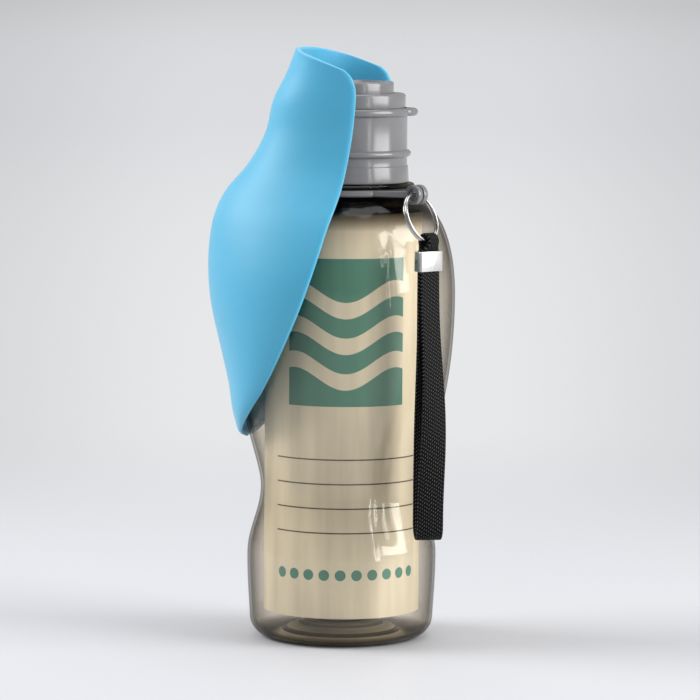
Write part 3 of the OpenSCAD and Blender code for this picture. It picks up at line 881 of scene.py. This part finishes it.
# %% [markdown]
# ## Webbing wrist strap
# A flat polyester webbing is doubled through the ring, clamped by a metal crimp and hangs in a
# loop that turns toward the front as it falls. It is swept along its own centre line: each row of
# the grid is the webbing's section, with rounded selvedges. Its UV map runs in millimetres across
# and along the tape, so that the weave keeps its scale and follows the turn.

# %% Strap centre line
WEB_W, WEB_T, WEB_GAP, EYE_W, EYE_IN = 9.5, 1.2, 0.1, 5.0, 1.888
CRIMP_TOP, CRIMP_H, CRIMP_T = -EYE_IN - 1.4 * WEB_T, 7.3, 0.6
STRAP_DROP, BEND_R = 108.4, 5.7
WEB_TWIST = math.radians(-38)
LOWEST = HANG @ (Vector((0, -SPLIT_SIDE, -SPLIT_DOWN - SPLIT_MID)) * MM)
WEB_PLACE = Matrix.Translation(LOWEST) @ Matrix.Rotation(LUG_TURN, 4, "Z")


def strap_line():
    """Centre line seen from the side, as distance outward and height, closed on itself."""
    ply = (WEB_T + WEB_GAP) / 2
    eye = EYE_IN + WEB_T / 2
    low = CRIMP_TOP - CRIMP_H
    bend_z, mid_r = BEND_R - STRAP_DROP, BEND_R - WEB_T / 2
    far = 2 * mid_r - ply
    line = quarter((0, 0), eye, 215, -35, 22)
    line += stretch(line[-1], (-0.6, -1.0), (ply, CRIMP_TOP), (0, -0.8), 5)
    line += stretch((ply, CRIMP_TOP), (0, -2.4), (ply, low), (0, -2.4), 5)
    line += stretch((ply, low), (0.1, -42), (far, bend_z + 6), (0, -16), 48)
    line += stretch((far, bend_z + 6), (0, -2), (far, bend_z), (0, -2), 4)
    line += quarter((far - mid_r, bend_z), mid_r, 0, -180, 24)[1:]
    line += stretch((-ply, bend_z), (0, 30), (-ply, low), (0, 30), 50)
    line += stretch((-ply, low), (0, 2.4), (-ply, CRIMP_TOP), (0, 2.4), 5)
    line += stretch((-ply, CRIMP_TOP), (0, 0.8), line[0], (-0.6, 1.0), 5)[:-1]
    return line


# %% Strap sweep
SELVEDGE, SEAM_STEP = 0.45, 0.01
TURN_BELOW_CRIMP, TURN_ABOVE_END, NARROWING = 20, 10, 2.4


def web_section(width):
    """Rounded selvedges on a flat tape, as across and through."""
    flat, half = width / 2 - SELVEDGE, WEB_T / 2 - SELVEDGE
    corners = [(flat, half, 0), (-flat, half, 90), (-flat, -half, 180), (flat, -half, 270)]
    points = []
    for x, y, start in corners:
        points += quarter((x, y), SELVEDGE, start, start + 90, 3)
    return points


def turn_at(z):
    """The loop's turn about the vertical, growing smoothly below the crimp."""
    top, end = CRIMP_TOP - CRIMP_H - TURN_BELOW_CRIMP, TURN_ABOVE_END - STRAP_DROP
    t = min(max((top - z) / (top - end), 0), 1)
    return WEB_TWIST * t * t * (3 - 2 * t)


def width_at(z):
    """The tape narrows above the crimp, where it gathers in the ring."""
    t = min(max((z - CRIMP_TOP) / NARROWING, 0), 1)
    return WEB_W + (EYE_W - WEB_W) * t


def wrist_strap():
    """
    Each row of a grid is laid round the section at one place on the line, then the two ends meet
    and are merged. The last column of the UV map stands a hair past the first, at the seam.
    """
    line = strap_line()
    count = len(line)
    ring_count = len(web_section(WEB_W))
    start_piece()
    bpy.ops.mesh.primitive_grid_add(x_subdivisions=ring_count, y_subdivisions=count, size=2)
    strap = named("webbing_strap")
    uv = strap.data.uv_layers["UVMap"].data
    walked = [0.0]
    for a, b in zip(line, line[1:] + line[:1]):
        walked.append(walked[-1] + (b - a).length)
    around = ring_count + 1
    spots = [(i % around, i // around) for i in range(len(strap.data.vertices))]
    for loop in strap.data.loops:
        k, row = spots[loop.vertex_index]
        across = web_section(WEB_W)[k % ring_count]
        uv[loop.index].uv = (across.x + (k == ring_count) * SEAM_STEP, walked[row])
    for vertex, (k, row) in zip(strap.data.vertices, spots):
        p = line[row % count]
        along = (line[(row + 1) % count] - line[(row - 1) % count]).normalized()
        across = web_section(width_at(p.y))[k % ring_count]
        x, z = p.x + across.y * along.y, p.y - across.y * along.x
        placed = Matrix.Rotation(turn_at(p.y), 3, "Z") @ Vector((x, across.x, z))
        vertex.co = placed * MM
    print("strap, flat length in mm:", round(walked[-1], 1))
    return smooth(settle(tidy_faces(strap), WEB_PLACE), degrees=50)


# %% Webbing material
RIB, PICK = 1.366, 0.8055
CHEVRON, CHEVRON_SHIFT = 1.2, 20.0
RIB_LIFT, PICK_LIFT, RAISE = 1.0, 1.4, 0.21


def black_webbing():
    """
    Woven polyester: ribs in a small zigzag, crossed by the picks. Nearly black and matte, and
    only the tops of the yarns catch light. Its yarns are finer than a render shows, so the ribs
    and the picks are drawn about a millimetre apart.
    """
    webbing = new_material("polyester_webbing_woven")
    uv = node(webbing, "ShaderNodeUVMap", uv_map="UVMap")
    tape = node(webbing, "ShaderNodeSeparateXYZ", {0: uv})
    across, along = tape.outputs["X"], tape.outputs["Y"]
    zigzag = node(webbing, "ShaderNodeMath", {0: across, 1: CHEVRON_SHIFT}, operation="ADD")
    zigzag = node(webbing, "ShaderNodeMath", {0: zigzag, 1: CHEVRON}, operation="PINGPONG")
    slant = node(webbing, "ShaderNodeMath", {0: along, 1: zigzag}, operation="ADD")
    yarns = []
    for value, length, lift in ((slant, RIB, RIB_LIFT), (across, PICK, PICK_LIFT)):
        yarn = node(webbing, "ShaderNodeMath", {0: value, 1: math.tau / length}, operation="MULTIPLY")
        yarn = node(webbing, "ShaderNodeMath", {0: yarn}, operation="SINE")
        yarns.append(node(webbing, "ShaderNodeMath", {0: yarn, 1: lift}, operation="ADD"))
    raised = node(webbing, "ShaderNodeMath", {0: yarns[0], 1: yarns[1]}, operation="MULTIPLY")
    height = node(webbing, "ShaderNodeMath", {0: raised, 1: RAISE}, operation="MULTIPLY")
    lit = node(webbing, "ShaderNodeMath", {0: height, 1: 5.0}, operation="POWER")
    tones = {"Factor": lit, "A": linear("#060606"), "B": linear("#6c6c6c")}
    relief = {"Height": height, "Strength": 0.7, "Distance": 0.3 * MM}
    surface = {
        "Base Color": node(webbing, "ShaderNodeMix", tones, data_type="RGBA"),
        "Roughness": 0.7,
        "Specular IOR Level": 0.12,
        "Normal": node(webbing, "ShaderNodeBump", relief),
    }
    return show(webbing, node(webbing, "ShaderNodeBsdfPrincipled", surface))


dress(wrist_strap(), black_webbing(), "strap", "webbing", "wrist_strap")

# %% [markdown]
# ## Crimp
# A strip of nickel-plated steel is folded round both plies and pressed flat. A cube without its
# ends is given its wall by Solidify, and a bevel rounds the folds.

# %% Crimp
CRIMP_ROOM, FOLD_R = 0.2, 0.28


def crimp_band():
    start_piece()
    bpy.ops.mesh.primitive_cube_add(size=1)
    band = named("crimp_band")
    around = 2 * CRIMP_T + CRIMP_ROOM
    band.scale = Vector((2 * WEB_T + WEB_GAP + around, WEB_W + around, CRIMP_H)) * MM
    band.location = (0, 0, (CRIMP_TOP - CRIMP_H / 2) * MM)
    settle(band, WEB_PLACE)
    bpy.ops.object.mode_set(mode="EDIT")
    bpy.ops.mesh.select_mode(type="FACE")
    bpy.ops.mesh.select_all(action="DESELECT")
    close_mesh()
    for face in band.data.polygons:
        face.select = abs(face.normal.z) > 0.9
    bpy.ops.object.mode_set(mode="EDIT")
    bpy.ops.mesh.delete(type="ONLY_FACE")
    bpy.ops.mesh.select_mode(type="VERT")
    close_mesh()
    finish_with(band, "strip", "SOLIDIFY", thickness=CRIMP_T * MM, offset=-1)
    finish_with(band, "folds", "BEVEL", width=FOLD_R * MM, segments=3)
    return smooth(band)


strip_steel = bright_steel("steel_strip_nickel", "#e8e7e4", 0.3)
dress(crimp_band(), strip_steel, "strap", "crimp_steel", "strap_crimp")

# %% [markdown]
# ## Pieces inside the cap
# The gasket, the stem with its seals, its clip and the leaf's bushes keep their CAD shapes, since
# little of them is ever seen. They only need their finishes: white silicone for the seals, turned
# white acetal for the stem and its clip, and the leaf's own finish for the bushes in its wall.

# %% Inner finishes
def plain_moulding(name, colour, roughness, ior):
    """A small moulding: one even tone and a low sheen, with a grain drawn as coarse as it shows."""
    plastic = new_material(name)
    surface = {
        "Base Color": linear(colour),
        "Roughness": roughness,
        "IOR": ior,
        "Normal": uneven(plastic, size=1.43, strength=0.05, depth=0.2),
    }
    return show(plastic, node(plastic, "ShaderNodeBsdfPrincipled", surface))


def finish_node(name, material):
    """Puts a material on every slot of a CAD node that stays."""
    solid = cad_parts[name]
    for slot in solid.material_slots:
        slot.material = material
    print(name, "is finished in", material.name)


seal = plain_moulding("silicone_seal_white", "#d9d7d2", 0.45, 1.41)
acetal = plain_moulding("acetal_turned_white", "#e6e4dd", 0.35, 1.48)
leaf_finish = bpy.data.materials["silicone_moulded_matte"]
inner_finishes = {
    "cap_gasket": seal,
    "stem_oring_upper": seal,
    "stem_oring_lower": seal,
    "valve_stem": acetal,
    "stem_clip": acetal,
    "leaf_bush_near": leaf_finish,
    "leaf_bush_far": leaf_finish,
}
for part, finish in inner_finishes.items():
    finish_node(part, finish)

# %% [markdown]
# ## Studio
# The floor is one wide pale disc that runs back until it fills the view, so no wall stands in the
# way from any side. Near the bottle it is a matte sheet that takes the shadow. Farther out a plain
# glow shows instead, to the camera and in reflections. Two soft boxes stand left and right, with a
# weaker one above and a slim strip in front that draws a fine highlight. The air looks paler to the
# camera than the light it gives. The camera stands a metre and a half away, behind a long lens.
# The floor and the lights are placed in metres.

# %% Floor finish
GLOW_FROM = (0.15, 0.7)
MIDDLE_FADE, FAR_FADE = (0.8, 5.0), (4.0, 22.0)
DIM_DEPTH, DIM_ASIDE, DIM_TO = 1.5, (0.03, 0.1), 0.86


def pale_floor():
    """A matte studio sheet near by, and a glow of the same pale grey far away."""
    sheet = new_material("studio_floor")
    place = node(sheet, "ShaderNodeTexCoord").outputs["Object"]
    away = node(sheet, "ShaderNodeVectorMath", {0: place}, operation="LENGTH")
    shares = []
    for start, end in (MIDDLE_FADE, FAR_FADE, GLOW_FROM):
        fade = {0: away, 1: start, 2: end}
        fade = node(sheet, "ShaderNodeMapRange", fade, interpolation_type="SMOOTHSTEP")
        shares.append(fade)
    glow = linear("#e7e8ea")
    for code, share in zip(("#dcdde0", "#cfd0d2"), shares):
        tones = {"Factor": share, "A": glow, "B": linear(code)}
        glow = node(sheet, "ShaderNodeMix", tones, data_type="RGBA")

    # The glow dims a little to both sides, along lines that spread out from before the bottle.
    spread = node(sheet, "ShaderNodeVectorMath", {0: place}, operation="ABSOLUTE")
    reach = node(sheet, "ShaderNodeSeparateXYZ", {0: spread})
    depth = {0: reach.outputs["Y"], 1: DIM_DEPTH}
    depth = node(sheet, "ShaderNodeMath", depth, operation="ADD")
    aside = {0: reach.outputs["X"], 1: depth}
    aside = node(sheet, "ShaderNodeMath", aside, operation="DIVIDE")
    dim = {0: aside, 1: DIM_ASIDE[0], 2: DIM_ASIDE[1], 3: 1.0, 4: DIM_TO}
    dim = node(sheet, "ShaderNodeMapRange", dim, interpolation_type="SMOOTHSTEP")

    near = {"Base Color": linear("#c9cace"), "Roughness": 0.5}
    near = node(sheet, "ShaderNodeBsdfPrincipled", near)
    far = node(sheet, "ShaderNodeEmission", {"Color": glow, "Strength": dim})
    path = node(sheet, "ShaderNodeLightPath")
    seen = {0: path.outputs["Is Camera Ray"], 1: path.outputs["Is Glossy Ray"]}
    seen = node(sheet, "ShaderNodeMath", seen, operation="MAXIMUM")
    share = node(sheet, "ShaderNodeMath", {0: seen, 1: shares[-1]}, operation="MULTIPLY")
    return show(sheet, node(sheet, "ShaderNodeMixShader", {0: share, 1: near, 2: far}))


# %% Floor
FLOOR_R, FLOOR_RIM = 30, 29.0


def studio_floor():
    start_piece()
    bpy.ops.mesh.primitive_circle_add(vertices=96, radius=FLOOR_R, fill_type="NGON")
    floor = named("studio_floor")
    open_mesh()
    bpy.ops.mesh.inset(thickness=FLOOR_RIM)
    close_mesh()
    floor.data.materials.append(pale_floor())
    print(floor.name, len(floor.data.polygons), "faces")


studio_floor()


# %% Lights
def soft_box(name, place, target, size, watts):
    """A rectangular lamp that faces its target."""
    start_piece()
    bpy.ops.object.light_add(type="AREA", location=place)
    lamp = bpy.context.object
    lamp.name = name
    lamp.data.shape = "RECTANGLE"
    lamp.data.size, lamp.data.size_y = size
    lamp.data.energy = watts
    aim = Vector(target) - Vector(place)
    lamp.rotation_euler = aim.to_track_quat("-Z", "Y").to_euler()


soft_box("box_right", (1.05, -0.33, 0.54), (0, 0, 0.12), (0.75, 0.9), 16)
soft_box("box_left", (-1.1, 0.1, 0.8), (0, 0, 0.12), (0.8, 0.75), 17)
soft_box("box_top", (0.1, 0.2, 1.3), (0, 0, 0.1), (1.0, 0.8), 6)
soft_box("strip_front", (0.86, -0.83, 0.22), (0, 0, 0.1), (0.05, 0.85), 1.2)

# %% Air
AIR_LIGHT, AIR_SHOWN = 0.4, 0.31


def studio_air():
    """An even pale light from all round, which the camera sees brighter than it shines."""
    world = bpy.data.worlds.new("studio_air")
    bpy.context.scene.world = world
    world.use_nodes = True
    world.node_tree.nodes.clear()
    path = node(world, "ShaderNodeLightPath")
    shown = {0: path.outputs["Is Camera Ray"], 1: AIR_SHOWN, 2: AIR_LIGHT}
    shown = node(world, "ShaderNodeMath", shown, operation="MULTIPLY_ADD")
    air = node(world, "ShaderNodeBackground", {"Color": linear("#f0f0f2"), "Strength": shown})
    node(world, "ShaderNodeOutputWorld", {"Surface": air})
    print(world.name, len(world.node_tree.nodes), "nodes")


studio_air()

# %% Camera
CAMERA_PLACE = Vector((2.6, -1500, 252)) * MM
CAMERA_AIM = Vector((2.6, 0, 106.6)) * MM
FOCAL_PIXELS, IMAGE_PIXELS, SENSOR = 4070, 700, 36
CAMERA_ROLL = math.radians(0.45)


def set_camera():
    """A lens whose focal length comes from its length in pixels and the picture's width."""
    start_piece()
    bpy.ops.object.camera_add(location=CAMERA_PLACE)
    camera = bpy.context.object
    level = (CAMERA_AIM - CAMERA_PLACE).to_track_quat("-Z", "Y").to_matrix()
    camera.rotation_euler = (level @ Matrix.Rotation(CAMERA_ROLL, 3, "Z")).to_euler()
    camera.data.sensor_width = SENSOR
    camera.data.lens = FOCAL_PIXELS / IMAGE_PIXELS * SENSOR
    camera.data.clip_start, camera.data.clip_end = 0.1, 100
    bpy.context.scene.camera = camera
    print("lens in mm:", round(camera.data.lens, 1))


set_camera()
bpy.context.scene.view_settings.view_transform = "Standard"
